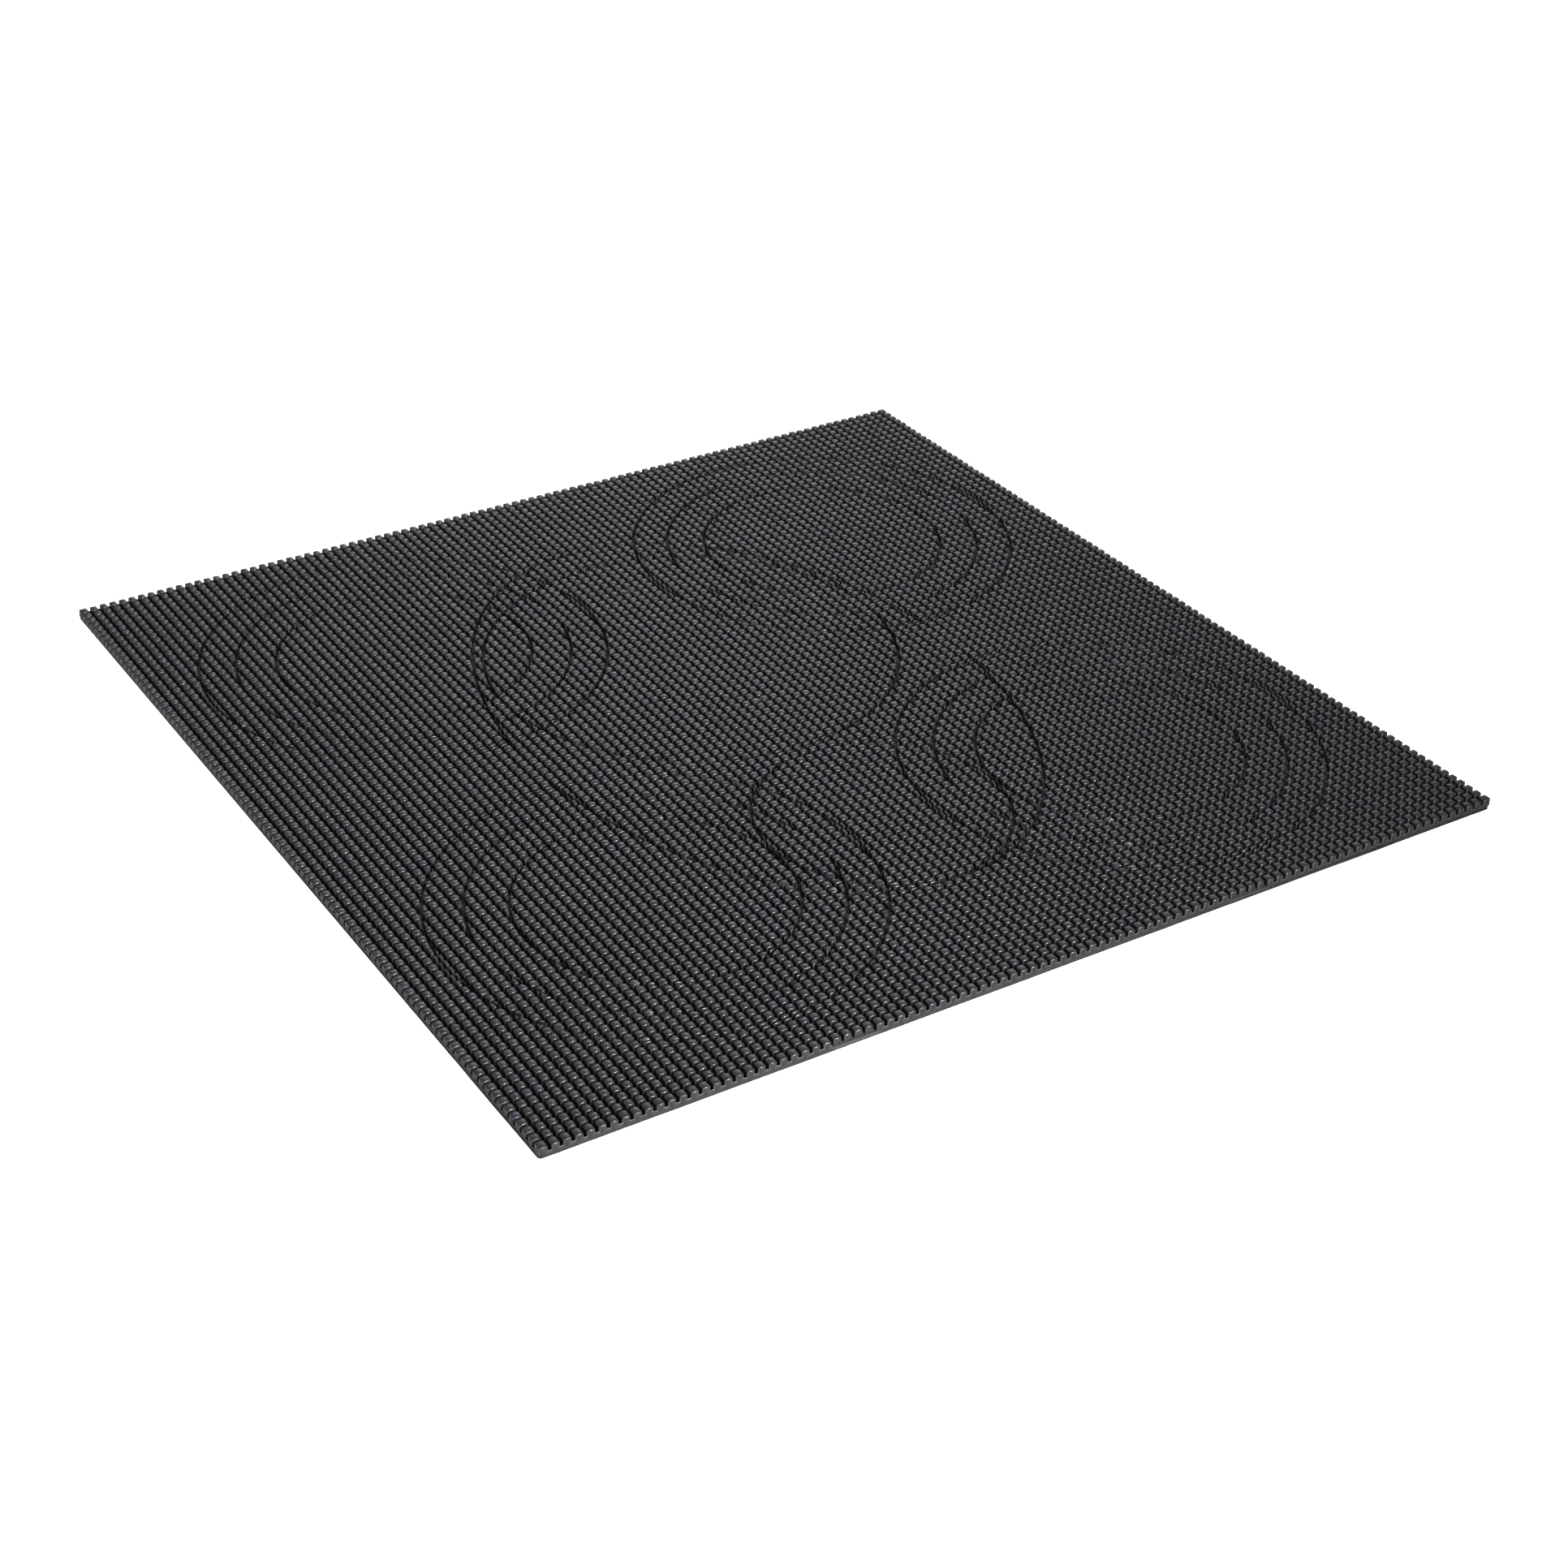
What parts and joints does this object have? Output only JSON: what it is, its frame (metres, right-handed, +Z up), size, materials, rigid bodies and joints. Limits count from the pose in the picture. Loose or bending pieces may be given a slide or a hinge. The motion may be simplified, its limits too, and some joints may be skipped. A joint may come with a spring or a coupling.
{
  "type": "studded rubber work mat",
  "caption": "Flat square rubber work mat covered in small square studs, with circular and oval slots cut through the studs.",
  "frame": {"origin": "centre of the underside, at the middle of the square", "axes": "+Z up through the mat, +X towards the right edge, +Y towards the back edge; the small circle is at the front"},
  "size_m": [0.3048, 0.3048, 0.0033],
  "materials": {
    "studs": "matte moulded, faintly mottled and dusty",
    "web": "matte moulded",
    "rim": "matte, cut edge",
    "backing": "matte, fine pebble"
  },
  "bodies": {
    "root": {"backing": "backing", "web": "web", "rim_front": "rim", "rim_back": "rim", "rim_left": "rim", "rim_right": "rim", "studs_field": "studs", "studs_oval": "studs", "studs_large_disc": "studs", "studs_small_disc": "studs", "disc_front_left": "studs", "disc_front_right": "studs", "disc_back_left": "studs", "disc_back_right": "studs", "inner_ring_front_left": "studs", "inner_ring_front_right": "studs", "inner_ring_back_left": "studs", "inner_ring_back_right": "studs", "outer_ring_front_left": "studs", "outer_ring_front_right": "studs", "outer_ring_back_left": "studs", "outer_ring_back_right": "studs"}
  },
  "joints": []
}
